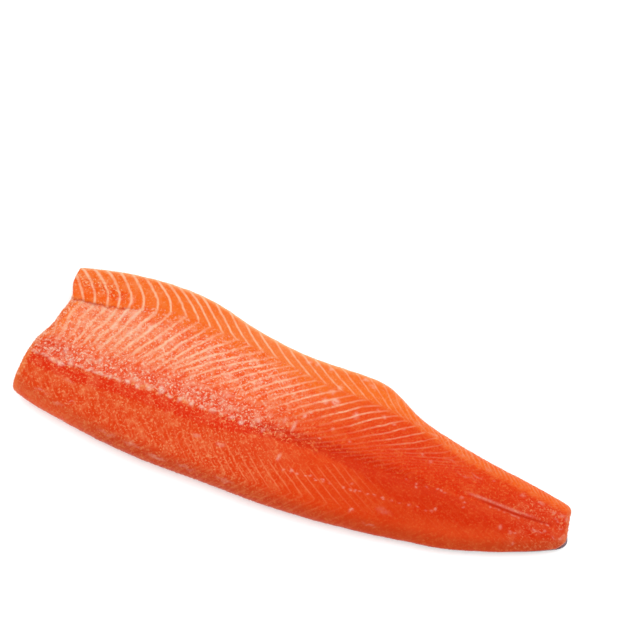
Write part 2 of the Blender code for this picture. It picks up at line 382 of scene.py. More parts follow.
# %% Segments above the midline
TYPICAL_PITCH = 9
COUNT_ROUNDS = 10
COUNT = (-3, 0, 3, 6, 9, 12, 15, 18, 22, 26, 30, 34, 39, 45, 51, 58, 66)
RIB_SHARES = (0.0, 0.35, 0.7, 1.0)
RIB_CROSSINGS = (
    (-275, -248, -223, -194, -173, -150, -124, -102, -64, -28, 13, 48, 92, 133, 166, 205, 248),
    (-262, -232, -211, -187, -158, -129, -109, -77, -36, 7, 52, 86, 118, 156, 185, 223, 262),
    (-275, -239, -206, -178, -144, -112, -82, -52, -13, 32, 77, 117, 152, 185, 209, 246, 280),
    (-262, -234, -202, -172, -133, -96, -56, -29, 9, 57, 95, 130, 165, 198, 227, 258, 290),
)
STRIP_SHARES = (0.0, 0.5, 1.0)
STRIP_CROSSINGS = (
    (-262, -234, -202, -172, -133, -96, -57, -8, 48, 88, 118, 143, 170, 198, 224, 256, 288),
    (-275, -248, -212, -179, -145, -112, -72, -27, 28, 74, 109, 137, 165, 193, 220, 253, 285),
    (-292, -263, -232, -197, -164, -131, -84, -39, 12, 64, 100, 131, 160, 188, 216, 250, 282),
)


def blend_weights(share, nodes):
    """How much the value at each node counts at a share, by the curve of lowest degree."""
    weights = []
    for node in nodes:
        others = [other for other in nodes if other != node]
        weights.append(np.prod([(share - other) / (node - other) for other in others], axis=0))
    return weights


def count_between(x, share, nodes, crossings):
    """The count at x, a share of the way across the lines that the crossings lie on."""
    weights = blend_weights(share, nodes)
    lines = [smooth_line(tuple(zip(COUNT, row))) for row in crossings]
    count = (x + MM * LENGTH / 2) / TYPICAL_PITCH
    for _ in range(COUNT_ROUNDS):
        here = sum(w * f(count) for w, f in zip(weights, lines))
        ahead = sum(w * f(count + 0.05) for w, f in zip(weights, lines))
        count = count - np.clip((here - x) / np.maximum((ahead - here) / 0.05, 2), -3, 3)
    return count


def segment_count(x, y):
    """The count of the segment that a point above the midline lies in."""
    mid, line, edge = (MM * f(x / MM) for f in (midline, belly_line, belly_edge))
    rib_share = np.clip((y - mid) / (line - mid), -0.15, 1)
    strip_share = np.clip((y - line) / (edge - line), 0, 1.1)
    ribs = count_between(x, rib_share, RIB_SHARES, RIB_CROSSINGS)
    return np.where(y > line, count_between(x, strip_share, STRIP_SHARES, STRIP_CROSSINGS), ribs)


# %% [markdown]
# Below the midline the segments of the back muscle lean the other way, run out in long
# shallow curves, and turn back sharply a little above the edge.

# %% Segments of the back muscle
back_line = smooth_line((
    (-250, -56), (-110, -51), (-73, -47), (-4, -44), (40, -39), (78, -34), (114, -29.5),
    (137, -24), (170, -20), (250, -14),
))
loin_turn = smooth_line((
    (-250, -70), (-112, -68), (-10, -64), (19, -60), (74, -53), (140, -41), (250, -20),
))
loin_total = smooth_line((
    (-260, -27.5), (-156, -17.6), (-130, -15.4), (-101, -12.7), (-71, -9.5), (-41, -6.2),
    (-11, -3.0), (18, -0.1), (47, 2.7), (78, 5.4), (93, 7.0), (160, 14.4), (260, 27),
))
loin_slope = smooth_line(((-260, 1.5), (-20, 1.5), (50, 2.0), (260, 2.2)))
LOIN_BEND = 0.010
LOIN_RETURN = 1.2
FOOT_ROUNDS = 12


def loin_count(x, y):
    """The count of the segment that a point below the midline lies in."""
    foot = x
    for _ in range(FOOT_ROUNDS):
        rise = y - loin_turn(foot)
        up, down = np.clip(rise, 0, 60), np.clip(-rise, 0, 60)
        reach = x + loin_slope(foot) * up - LOIN_BEND * up**2 + LOIN_RETURN * down
        foot = 0.5 * foot + 0.5 * reach
    return loin_total(foot)


def segment_pitch(count_of, x, y):
    """The distance from one line of fat to the next, measured square to the lines."""
    along = count_of(x + 0.5, y) - count_of(x - 0.5, y)
    across_fish = count_of(x, y + 0.5) - count_of(x, y - 0.5)
    return 1 / np.maximum(np.hypot(along, across_fish), 0.03)


def ripple(x, y, size, seed, waves=9):
    """Soft random waves, mostly within -1 and 1, about size from crest to crest."""
    random = np.random.default_rng(seed)
    turns, starts = random.uniform(0, 2 * np.pi, (2, waves))
    stretches = random.uniform(0.7, 1.5, waves)
    total = np.zeros(np.shape(x))
    for turn, start, stretch in zip(turns, starts, stretches):
        run = x * np.cos(turn) + y * np.sin(turn)
        total += np.cos(run * 2 * np.pi / (size * stretch) + start)
    return total / 3


# %% [markdown]
# Every vertex now gets its two counts. A wobble of half a millimetre keeps the lines from
# looking drawn with a ruler. On the walls the count also depends on the depth below the
# surface, because the segments lean as they go down, and so they show on both cuts.

# %% Counts on the vertices
LEAN = 1.6
WOBBLES = ((0.45, 26, 3), (0.25, 8, 4))


def read_vectors(mesh, name):
    """The places or the normals of all vertices, as rows of three."""
    flat = np.empty(len(mesh.vertices) * 3)
    mesh.vertices.foreach_get(name, flat)
    return flat.reshape(-1, 3)


vertex_count = len(flesh_mesh.vertices)
spots = read_vectors(flesh_mesh, "co")
x, y, z = (MM * spots).T
level = MM * flesh_top(x / MM, np.clip(y / MM, back_edge(x / MM), belly_edge(x / MM)), 0.02)
depth = np.clip(level - z - 2.0, 0, 40)
wobble = sum(size * ripple(x, y, reach, seed) for size, reach, seed in WOBBLES)
count_x = x + wobble + LEAN * depth
upper_count = segment_count(count_x, y)
upper_pitch = segment_pitch(segment_count, count_x, y)
back_count = loin_count(count_x, y)
back_pitch = segment_pitch(loin_count, count_x, y)
print("Segments:", int(upper_count.max() - upper_count.min()), "and", int(np.ptp(back_count)))

# %% [markdown]
# ## The broad zones
# Seen from above, a fillet falls into zones: the orange belly strip with its yellow rim, the
# pale grainy rib side, the deep red band of dark muscle along the midline, the plain back
# muscle, and a duller, browner rim along the back edge, which also gets painted shade where
# the edge rolls down. Each zone is a soft mask.

# %% Places on the flesh
CUT_SAMPLES = 241
NEAR_CUT = 0.24
mid, line = MM * midline(x / MM), MM * belly_line(x / MM)
edge, back = MM * belly_edge(x / MM), MM * back_edge(x / MM)
rough_y = y + 0.8 * ripple(x, y, 9, 11) + 0.4 * ripple(x, y, 3.5, 12)
cut_places = np.linspace(0, len(FLESH_ROWS), CUT_SAMPLES)
near_cut = np.full(CUT_SAMPLES, NEAR_CUT)
head_end = MM * cut_end(-1, head_cut_line, HEAD_CORNERS, 0.0, cut_places)
head_end_y = MM * across(-near_cut, cut_places)
tail_end = MM * cut_end(1, tail_cut_line, TAIL_CORNERS, 0.0, cut_places)
tail_end_y = MM * across(near_cut, cut_places)
from_head = x - np.interp(y, head_end_y, head_end)
from_tail = np.interp(y, tail_end_y, tail_end) - x
rib_share = (rough_y - mid) / (line - mid)


def hump(value, middle, reach):
    """1 in the middle, falling softly to nearly 0 at twice the reach."""
    return np.exp(-(((value - middle) / reach) ** 2))


def patch(at_x, at_y, reach_x, reach_y):
    return hump(x, at_x, reach_x) * hump(y, at_y, reach_y)


band_middle = smooth_line((
    (-245, -37), (-200, -38.5), (-150, -33.5), (-100, -31), (-60, -27.5), (-30, -20), (0, -15),
    (50, -12), (90, -15), (120, -18), (150, -18), (180, -16), (210, -10), (250, -5),
))
band_half = smooth_line((
    (-245, 5), (-150, 5.5), (-60, 6), (0, 6), (50, 8), (90, 12), (120, 14), (150, 11),
    (180, 8), (210, 6), (250, 4),
))
blur = 0.8 + 4.2 * ease(x, -30, 90)
strip = ease(rough_y, line - blur, line + blur)
below_strip = ease(rough_y, line - 17, line - 4) * ease(x, -178, -150) * (1 - ease(x, 40, 120))
ribs = ease(rough_y, mid - 1.6, mid + 1.2) * (1 - strip)
band_off = np.abs(rough_y - band_middle(x)) / band_half(x)
band = 1 - ease(band_off, 0.65, 1.35)
red_front = 14 + 1.1 * np.clip(y, -15, 45)
reddening = ease(x + 5 * ripple(x, y, 22, 13), red_front - 72, red_front + 34)
rim = 1 - ease(edge - y, 0.6, 6.0)
# darker towards the back edge: partly the browner flesh there, partly painted shade where the edge
# rolls down
brown_and_shaded_back_rim = 1 - ease(y - back, 2.5, 13)

# %% [markdown]
# ## Colour of the zones
# The zones are mixed one over the other like thin washes, from the widest to the smallest.
# Colours are written as they look in the light of this scene, as screen colours. The worktop
# is lit to 1.6 times a screen's white, so one function turns a colour into light values and
# divides them by that, which gives the colour of the surface itself.

# %% Washes of colour
LIGHT_LEVEL = 1.63


def light_values(hex_colour):
    """The linear light values of a screen colour such as #FF8040."""
    screen = np.array([int(hex_colour[i : i + 2], 16) for i in (1, 3, 5)]) / 255
    return np.where(screen <= 0.04045, screen / 12.92, ((screen + 0.055) / 1.055) ** 2.4)


def surface_colour(hex_colour):
    """The share of each light that a surface gives back when it looks like this colour."""
    return light_values(hex_colour) / LIGHT_LEVEL


def wash(ground, hex_colour, share):
    return ground + (surface_colour(hex_colour) - ground) * np.clip(share, 0, 1)[:, None]


ground = np.tile(surface_colour("#E6400C"), (vertex_count, 1))
WASHES = (
    ("#DA380C", ease(x, 20, 120)),
    ("#FB6A2A", ribs),
    ("#F85A30", 0.9 * ribs * (1 - ease(rib_share, 0.05, 0.42))),
    # painted sheen: the ribs near the head are lighter, as if a soft light shone on them from the
    # top left
    ("#FF9868", ribs * (0.9 * patch(-190, 20, 50, 22) + 0.25 * patch(-118, 18, 42, 20))),
    ("#FF863A", ribs * (1 - ease(from_head, 5, 17)) * ease(y, -30, -12)),
    ("#EC4620", ribs * (0.9 * patch(-230, -20, 20, 10) + 0.5 * patch(-70, -10, 40, 9))),
    ("#E63E08", ribs * reddening),
    ("#E02E02", 0.9 * ribs * ease(x, 35, 110) * (1 - ease(rib_share, 0.6, 0.95))),
    ("#F8701C", below_strip * (1 - strip) * (1 - ease(x, 0, 60))),
    ("#EC4E10", 0.7 * below_strip * (1 - strip) * ease(x, 0, 60)),
    ("#F8701E", strip),
    ("#F85E04", 0.8 * strip * (patch(-226, 40, 18, 9) + patch(-194, 47, 24, 9))),
    ("#F88040", 0.7 * strip * hump(x, -45, 55)),
    ("#F4661E", strip * ease(x, 60, 115) * ease(edge - y, 4, 12)),
    ("#F4641A", ease(x, 80, 140) * (1 - ease(edge - y, 3, 12))),
    ("#F66E28", 0.6 * ease(x, 80, 140) * rim),
    ("#FDA862", rim * strip * (0.55 + 0.3 * hump(x, 0, 50)) * (1 - ease(x, 30, 90))),
    ("#FFC088", 0.55 * strip * (1 - ease(edge - y, 0.6, 3.4)) * (1 - ease(x, -110, 20))),
    ("#E42A04", band * (1 - ease(x, -30, 40))),
    ("#D62800", band * ease(x, -60, 20)),
    ("#D42A02", 0.8 * patch(138, -19, 42, 6)),
    ("#E04418", 0.6 * ease(x, 95, 140) * (1 - ease(y - back, 14, 24)) * (1 - ease(x, 180, 215))),
    ("#EA5828", 0.5 * (1 - ribs) * (1 - band) * patch(-150, -46, 90, 6)),
    ("#E64A22", 0.5 * (1 - band) * patch(-15, -33, 45, 11)),
    ("#DA3A18", 0.6 * ease(x, 130, 190) * hump(y, 4, 8)),
    # the back edge: browner flesh with painted shade on its roll, less dark near the head
    ("#C63A10", 0.9 * brown_and_shaded_back_rim),
    ("#EC5420", 0.85 * brown_and_shaded_back_rim * (1 - ease(x, -205, -140))),
    ("#F07A3C", 0.8 * (1 - ease(from_head, 1.0, 7.5)) * (1 - strip)),
    ("#E2744A", 0.7 * (1 - ease(from_tail, 0.5, 5))),
)
for hex_colour, share in WASHES:
    ground = wash(ground, hex_colour, share)

# the pale colour of the crumbs, which also stand for painted glints of the wet flesh; the pale
# mottling and fibres borrow it
crumbs_and_glints = np.tile(surface_colour("#FFA870"), (vertex_count, 1))
CRUMB_AND_GLINT_WASHES = (
    ("#FFC4A8", ribs * (1 - reddening)),
    ("#EE7038", ease(x, -60, 40)),
    ("#E07C44", 0.8 * brown_and_shaded_back_rim),
    ("#FFB484", strip * (1 - 0.8 * ease(x, 120, 170))),
    ("#F49868", ease(x, 185, 215) * (1 - ease(y, 16, 22))),
)
for hex_colour, share in CRUMB_AND_GLINT_WASHES:
    crumbs_and_glints = wash(crumbs_and_glints, hex_colour, share)

# %% [markdown]
# ## How strongly the fat shows
# The lines are widest on the ribs and in the belly strip near the head, thin and faint in
# the back muscle, and almost gone near the tail. Close to the midline they break up into
# grain.

# %% Strength and width of the lines
strip_show = smooth_line((
    (-250, 0.78), (-150, 0.82), (-90, 0.8), (-30, 0.7), (20, 0.5), (55, 0.3), (90, 0.2),
    (120, 0.2), (250, 0.22),
))
rib_show = smooth_line((
    (-250, 0.35), (-225, 0.65), (-195, 0.9), (-165, 1.0), (-100, 1.0), (0, 0.95), (55, 0.75),
    (90, 0.42), (115, 0.18), (135, 0.08), (250, 0.05),
))
strip_width = smooth_line((
    (-250, 1.7), (-170, 1.55), (-120, 1.3), (-40, 1.15), (60, 1.0), (120, 0.9), (250, 0.9),
))
rib_width = smooth_line((
    (-250, 1.9), (-180, 2.0), (-120, 1.65), (-40, 1.4), (60, 1.2), (120, 0.9), (250, 0.7),
))
run_out = 0.42 - 0.12 * ease(x, -110, -60) - 0.1 * ease(x, -60, 40)
fade_down = 1 - 0.9 * ease(1 - rib_share, run_out, run_out + 0.5)
gap_under_strip = 1 - 0.65 * below_strip
upper_show = strip * strip_show(x) + (1 - strip) * ribs * rib_show(x) * fade_down * gap_under_strip
upper_width = strip * strip_width(x) + (1 - strip) * rib_width(x)
upper_width = np.minimum(upper_width, 0.3 * upper_pitch)
loin_top = np.minimum(back_line(x) + 4 + 26 * ease(x, 10, 70), mid - 8)
loin_show = (1 - ease(y, loin_top - 5, loin_top + 2)) * (0.24 + 0.24 * hump(x, -15, 60))
loin_show *= 1 - 0.85 * ease(x, 40, 100)
loin_show *= 1 - 0.5 * (1 - ease(x, -190, -110))
loin_show *= 1 - 0.6 * (1 - ease(y, loin_turn(x) - 1, loin_turn(x) + 5))

# %% [markdown]
# ## Lumps, beads and strokes of fat
# Small lumps of fat sit on the midline where each segment ends, beads dot the line in the
# back muscle, and a few short strokes lie loose. A few long thin strokes just in from the back
# edge are painted sheen in the pale colour of the fat. Each one is a soft oval with a place and
# half sizes in millimetres.

# %% Ovals of fat
LUMPS = (
    (-239, -31, 3.5, 1.2, 0.6), (-229, -31, 4, 1.5, 0.7), (-221, -32, 4, 1.8, 0.8),
    (-213, -32.8, 3.5, 2, 0.9), (-205, -29.6, 3, 1.6, 0.8), (-196, -29.2, 4, 1.4, 0.7),
    (-187, -28.6, 5, 1.4, 0.8), (-178, -27.8, 5, 1.4, 0.8), (-169, -27, 5, 1.4, 0.8),
    (-161, -26.4, 4, 1.5, 0.7), (-152, -25, 2.6, 2.2, 0.95), (-142.4, -24.6, 2, 2.6, 1),
    (-132, -23.4, 2.6, 2, 0.8), (-121, -20.6, 3, 3.2, 1), (-112.5, -22.4, 2.4, 2, 0.9),
    (-102.6, -22.4, 2, 2, 0.9), (-92.2, -21.6, 2, 1.9, 0.9), (-83.2, -21.8, 2.2, 2, 1),
    (-73, -20.2, 3, 1.8, 0.85), (-65, -20, 1.6, 1.2, 0.5), (-55.5, -19.2, 2.2, 1.6, 0.8),
    (-46, -19.6, 2.2, 2, 0.9), (-36.5, -19, 1.6, 1.4, 0.6), (-33.5, -12.5, 2.6, 1.8, 0.8),
    (-26, -18.5, 1.4, 1.6, 0.5), (-84, -12, 1.6, 1.2, 0.5), (-95, -11, 1.6, 1.2, 0.6),
    (-182, -17, 2, 2.6, 0.5), (-214, -20, 1.8, 2.2, 0.6), (-206, -27, 2.4, 1.4, 0.6),
)
BEADS = (
    (4.5, -44, 1.2, 0.9, 0.6), (11.2, -42.4, 1.5, 1.3, 1), (16.4, -43.2, 1.2, 0.9, 0.8),
    (24, -41.6, 1.1, 0.8, 0.7), (27.4, -41, 1.2, 0.9, 0.8), (33, -40.4, 1.6, 0.8, 0.8),
    (38.6, -40.4, 1.6, 0.8, 0.8), (45, -39.6, 1.4, 0.7, 0.5), (57, -37.8, 1.2, 0.8, 0.6),
    (62.6, -33, 1.1, 1, 0.6), (63.6, -37.4, 1.3, 0.9, 0.8), (67.4, -36.6, 1.2, 0.9, 0.7),
    (71, -36, 1.2, 0.8, 0.7), (78, -34.8, 1.4, 0.7, 0.6), (84, -33.8, 1.6, 0.7, 0.6),
    (91.5, -33.6, 1.8, 0.7, 0.8), (99, -32.6, 1.6, 0.7, 0.6), (106, -31.2, 1.4, 0.7, 0.5),
    (114, -29.2, 1.2, 0.8, 0.6), (121, -28.6, 1.2, 0.8, 0.6), (112.8, -9, 1, 0.9, 0.8),
    (113.8, -12, 1.2, 1.1, 1), (104, -9, 1.4, 0.6, 0.5), (122, -7.8, 1.4, 0.6, 0.5),
    (131.4, -6.2, 1.1, 1, 0.9), (134.6, -6.2, 1.2, 1, 0.9), (138, -6, 1.3, 0.8, 0.7),
    (153, -4.8, 1.4, 1.2, 0.9), (156.4, -8.2, 1.2, 1, 0.9), (157.2, -12.2, 1, 0.9, 0.7),
    (136, -24, 1.1, 1, 1), (129, -27.6, 1.2, 0.8, 0.6), (133.4, -27, 1.3, 0.9, 0.6),
    (178.4, -1.8, 1.2, 0.8, 0.7), (183, -1.4, 1.4, 0.9, 0.7), (186, -1.2, 1.1, 0.9, 0.9),
    (191, -1, 1.2, 0.8, 0.6), (200, -1.2, 2.4, 0.8, 0.6), (204, -1.4, 1.1, 0.8, 0.7),
    (223.4, 2, 1.1, 1, 0.8), (228.4, 2.6, 1.8, 1.2, 1), (220, -7, 3, 0.9, 0.7),
    (225, -5.4, 2.4, 0.9, 0.6), (192.4, -16, 1.6, 1.6, 0.8), (202, -15.6, 2, 0.9, 0.5),
    (205.6, -15, 1, 0.9, 0.7), (207, -24, 1, 1.6, 0.5), (70.6, -53.6, 1.6, 1.2, 0.9),
    (228.5, -3.2, 1.2, 1, 0.6), (237, -6.8, 2, 1, 0.7), (243, -4.4, 1.4, 1.4, 0.7),
    (245, -1.6, 1, 2, 0.5), (217.5, 18.7, 2.8, 1.4, 0.6), (230, 15.4, 2, 1.2, 0.6),
    (238, 15.6, 2.4, 1.2, 0.7), (242.5, 13.4, 1.6, 1.2, 0.6), (200.5, 18.5, 2.4, 1.4, 0.5),
    (234, 10, 2, 1, 0.4), (202, -17, 1.4, 1, 0.5), (199, -0.8, 4, 0.7, 0.6),
    (46.6, 1.6, 1.2, 1, 0.5), (21.6, -6.6, 1.3, 1, 0.7), (2, 8.4, 1.4, 1.8, 0.9),
    (5, 13.4, 1.6, 1.4, 0.9), (28.6, 5.6, 1.4, 1.6, 0.6), (108, 17.4, 1.4, 1.4, 0.7),
    (117, 14.8, 1.6, 1, 0.6), (240.6, 4, 1.4, 1, 0.6), (236, 8, 1.2, 0.8, 0.5),
)
STROKES = (
    (-184.5, 33, 1.9, 5.5, 0.8), (-175.6, 35, 2, 6, 0.7), (-165.6, 26, 1.8, 4.5, 0.9),
    (-156.4, 28, 2, 5, 0.8), (-145.4, 24, 2.8, 3.6, 0.7), (-134, 24, 3.4, 3, 0.5),
    (-126, 24.6, 3, 2.4, 0.6), (-186, 19, 2, 4, 0.6), (-172, 18, 3, 3, 0.5),
    (-96, 25.5, 2.4, 3.8, 0.8), (-84.6, 29, 2, 3, 0.6), (-76.5, 24, 2.2, 2.6, 0.6),
    (-55.6, 25, 2, 2.6, 0.8), (-46.4, 22, 2.2, 1.8, 0.7), (-12, -3, 1.2, 3.4, 0.7),
    (-3, -4.6, 1.5, 4.6, 0.8), (-3.6, -36.5, 1.5, 3.4, 0.7), (-16, -8, 1, 1.8, 0.5),
    (-26, -4, 1.6, 1.6, 0.5), (20.6, 31.8, 3.8, 3, 0.95), (12.8, 29, 2.6, 2.2, 0.8),
    (42, 26.4, 2.6, 2.6, 0.8), (65, 36, 2, 1.3, 0.9), (75, 33.6, 1.8, 1.1, 0.8),
    (84.4, 32.6, 1.6, 1.1, 0.8), (14, 39.5, 3.2, 2, 0.6), (19, 46, 2.4, 2, 0.6),
    (45, 58.5, 3.6, 1.6, 0.6), (37, 61.5, 3.4, 1.2, 0.8), (-16, 58.4, 2.6, 1.8, 0.8),
    (-8, 59, 1.6, 2, 0.7), (5, 59.6, 2.6, 1, 0.8), (58, 39.6, 1.6, 1.2, 0.6),
    (112, 38.8, 4, 0.9, 0.7), (95, 42.6, 3.4, 1.2, 0.5), (141, 31.4, 2.4, 0.8, 0.5),
    (165, 28.6, 2.4, 1.4, 0.5), (133, 22.4, 5, 0.9, 0.5), (158, 18.4, 5, 0.8, 0.5),
    (173, 20.6, 1.2, 1.2, 0.5), (-74.6, 15.6, 4, 2.4, 0.4), (-66, -1.5, 5, 1.6, 0.5),
    (-184, 49, 2.4, 2.4, 0.5), (-195, 45.5, 2.6, 1.4, 0.6), (-183, 45, 1.4, 1.6, 0.5),
    (-218, -61.2, 6, 0.8, 0.6), (-243.6, -54.4, 1.6, 1.2, 0.6), (-190, -61.4, 5, 0.7, 0.4),
    (-200, -66, 5, 0.7, 0.35), (-198, -45, 5, 1, 0.3), (-76, -46.5, 3, 1.8, 0.5),
    # painted sheen: the five long thin strokes at y -71 to -76 on this line and the next lie just
    # in from the back edge
    (-102, -75.4, 7, 1, 0.5), (-125, -73.6, 8, 1, 0.4), (-75, -73.4, 7, 1, 0.4),
    (-150, -73, 8, 1, 0.3), (-40, -71, 8, 1, 0.3), (150, 14.6, 9, 0.7, 0.4),
    (-54, -45.6, 3.4, 1.8, 0.6), (89, -57.8, 5.5, 0.55, 0.6), (96, -43, 6, 2.4, 0.35),
)


def ovals(table):
    """The strongest of the soft ovals at each vertex."""
    total = np.zeros(vertex_count)
    for at_x, at_y, reach_x, reach_y, strength in table:
        near = np.flatnonzero(np.abs(x - at_x) < 2.5 * reach_x)
        off = ((x[near] - at_x) / reach_x) ** 2 + ((rough_y[near] - at_y) / reach_y) ** 2
        total[near] = np.maximum(total[near], strength * np.exp(-(off**1.5)))
    return total


on_top = 1 - ease(depth, 0.5, 3)
lumps, beads, strokes = (on_top * ovals(table) for table in (LUMPS, BEADS, STROKES))
beads *= 0.62 - 0.22 * ease(x, 40, 110)
strokes *= 0.8 - 0.4 * ease(x, 20, 100)
print("Ovals of fat:", len(LUMPS) + len(BEADS) + len(STROKES))

# %% [markdown]
# ## Grain
# Where the pin bones were pulled and the segments are torn across, the surface is coarse:
# pale and dark crumbs of a millimetre or two, and the pale ones also serve as painted glints
# of the wet surface. The other zones keep about half as much of it.

# %% Strength of the grain
grain_along = smooth_line((
    (-250, 1.2), (-100, 1.15), (-20, 1.1), (40, 0.75), (80, 0.6), (170, 0.72), (215, 0.75),
    (250, 0.75),
))
near_midline = (1 - ease(np.abs(y - mid - 5), 6, 14)) * (1 - ease(x, -30, 60))
COARSE_ZONES = (
    1.45 * near_midline, 1.25 * band * hump(x, 5, 55), 0.8 * patch(-150, -46, 80, 6),
    0.75 * patch(-15, -33, 45, 12), 0.8 * patch(212, -4, 34, 13),
    1.3 * patch(-178, -12, 36, 12), 2.2 * patch(-214, 50, 30, 8),
)
grain = 0.6 + 0.5 * ribs
for coarse in COARSE_ZONES:
    grain = np.maximum(grain, coarse)
grain *= 1 - 0.45 * below_strip
grain *= (1 - 0.2 * strip + 0.5 * strip * ease(x, -60, 60)) * grain_along(x)
in_loin = (1 - ribs) * (1 - strip)
fibres = 0.8 * ribs * (1 - 0.5 * below_strip) + in_loin * (0.8 - 0.4 * ease(x, 0, 70))
fibres += strip * (0.35 + 0.65 * ease(x, 70, 130))
fibres *= 1 - 0.7 * band
fibres *= 1 - 0.8 * ease(x, -30, 10) * hump(y, mid + 2, 5)
fibre_count = np.where(y > mid - 2, upper_count, back_count)

# %% [markdown]
# ## Relief
# The fat lines stand up to a fifth of a millimetre proud and the lumps not quite half a
# millimetre, the grain is pitted, and a fine furrow runs along the midline near the tail.
# All of it moves real vertices along their normals, so it shows at a low angle too.

# %% Moving the vertices
furrow_line = smooth_line(((150, -1.5), (165, -0.4), (180, 0.2), (205, 1.0), (225, 3.2), (250, 6)))
# the furrow is real relief, and its deep red is partly its own colour and partly painted shade
furrow = hump(y, furrow_line(x), 1.3) * ease(x, 152, 185) * (1 - ease(x, 222, 236))
lip = hump(y, furrow_line(x) + 2.4, 1.2) * ease(x, 150, 170) * (1 - ease(x, 200, 225))
# painted shadow under the edge of the raised belly strip, near the head
step_shadow = hump(rough_y, line - 0.4, 0.7) * (1 - ease(x, -192, -168)) * on_top
upper_off = np.abs(upper_count - np.round(upper_count)) * upper_pitch
upper_ridge = upper_show * (1 - ease(upper_off, 0.2, 1.2 * upper_width))
back_off = np.abs(back_count - np.round(back_count)) * back_pitch
back_ridge = loin_show * (1 - ease(back_off, 0.1, 1.2))
pits = ripple(x, y + 0.6 * z, 2.3, 21, 14) + 0.8 * ripple(x, y + 0.6 * z, 3.6, 22, 14)
rolling = ripple(x, y + z, 34, 23) + 0.5 * ripple(x, y + z, 15, 24)
relief = 0.18 * upper_ridge + 0.08 * back_ridge + 0.45 * lumps + 0.25 * beads + 0.2 * strokes
relief += 0.12 * grain * pits + 0.16 * rolling - 0.35 * furrow + 0.14 * lip - 0.1 * step_shadow

normals = read_vectors(flesh_mesh, "normal")
free = ease(z - MM * (underside(x / MM, y / MM) + SKIN + GAP), 0.2, 2.5)
moved = spots + normals * (relief * free / MM)[:, None]
flesh_mesh.vertices.foreach_set("co", moved.ravel())
flesh_mesh.transform(Matrix.Translation((-MIDDLE, 0.0, 0.0)))
flesh_mesh.update()
flesh_mesh.set_sharp_from_angle(angle=np.radians(60))
print("Relief from", round(relief.min(), 2), "to", round(relief.max(), 2), "mm")

# %% [markdown]
# The fields are stored on the vertices under plain names, for the material to read.

# %% Fields for the material


def store(mesh, name, values):
    """Keeps one number or one colour for each vertex under a name."""
    if values.ndim == 2:
        kept = mesh.attributes.new(name, "FLOAT_COLOR", "POINT")
        kept.data.foreach_set("color", np.c_[values, np.ones(len(values))].ravel())
    else:
        kept = mesh.attributes.new(name, "FLOAT", "POINT")
        kept.data.foreach_set("value", values.astype(np.float32))


FIELDS = {
    "ground": ground, "upper_count": upper_count, "upper_pitch": upper_pitch,
    "upper_show": upper_show, "upper_width": upper_width, "loin_count": back_count,
    "loin_pitch": back_pitch, "loin_show": loin_show, "grain": grain,
    "fibres": fibres, "fibre_count": fibre_count, "crumbs_and_glints": crumbs_and_glints,
    # fat also holds the painted sheen streaks near the back edge
    "fat": np.maximum(np.maximum(lumps, beads), np.maximum(0.8 * strokes, 0.3 * lip)),
    "shadow": np.maximum(furrow, 0.6 * step_shadow),
}
for name, values in FIELDS.items():
    store(flesh_mesh, name, values)


def put_in_scene(name, data):
    """A new object that holds this data, at the origin."""
    made = bpy.data.objects.new(name, data)
    bpy.context.scene.collection.objects.link(made)
    return made


flesh_piece = put_in_scene("flesh_body", flesh_mesh)
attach(flesh_piece, "root")
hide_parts("flesh")

# %% [markdown]
# ## The finish of the flesh
# One helper adds a node and sets its properties. Its inputs are set by a second one, which
# links any input that is given another node's output. Everything below is built from them.

# %% The node helper


def set_inputs(node, inputs):
    """Links each input that is given another node's output, and sets the others."""
    for socket, value in inputs.items():
        if isinstance(value, bpy.types.NodeSocket):
            node.id_data.links.new(value, node.inputs[socket])
        else:
            node.inputs[socket].default_value = value


def add(tree, kind, settings=None, inputs=None, out=0):
    """Adds a node with these settings and inputs, and gives back one of its outputs."""
    made = tree.nodes.new("ShaderNode" + kind)
    for name, value in (settings or {}).items():
        setattr(made, name, value)
    set_inputs(made, inputs or {})
    return made.outputs[out]


def socket_colour(hex_colour):
    return (*surface_colour(hex_colour), 1.0)


def new_material(name):
    """An empty node material with an output, and its Principled shader."""
    material = bpy.data.materials.new(name)
    material.use_nodes = True
    return material, material.node_tree, material.node_tree.nodes["Principled BSDF"]


COLOUR_FIELDS = ("ground", "crumbs_and_glints")
flesh_material, tree, flesh_shader = new_material("raw salmon flesh, moist")
here = add(tree, "TexCoord", out="Object")
field = {}
for name in FIELDS:
    output = "Color" if name in COLOUR_FIELDS else "Fac"
    field[name] = add(tree, "Attribute", {"attribute_name": name}, out=output)

# %% [markdown]
# The lines of fat: `PINGPONG` folds a count so that it is 0 on every whole number, and the
# pitch turns that into millimetres. A little noise frays the line, and a wider one lets it
# fade and return along its run, as fat does between real segments. A noise's scale says how
# many of its waves a metre holds, so the frays are 2.4 mm apart and the fades 7.7 mm.

# %% Lines of fat
FRAYS_PER_METRE = 420.0
FADES_PER_METRE = 130.0
FRAYING = 0.05
LOIN_LINE_WIDTH = 0.9
fray = add(tree, "TexNoise", None, {"Vector": here, "Scale": FRAYS_PER_METRE, "Detail": 2.0})
patchy = add(tree, "TexNoise", None, {"Vector": here, "Scale": FADES_PER_METRE, "Detail": 1.0})
presence = add(
    tree, "MapRange", None,
    {"Value": patchy, "From Min": 0.33, "From Max": 0.62, "To Min": 0.6, "To Max": 1.1},
)


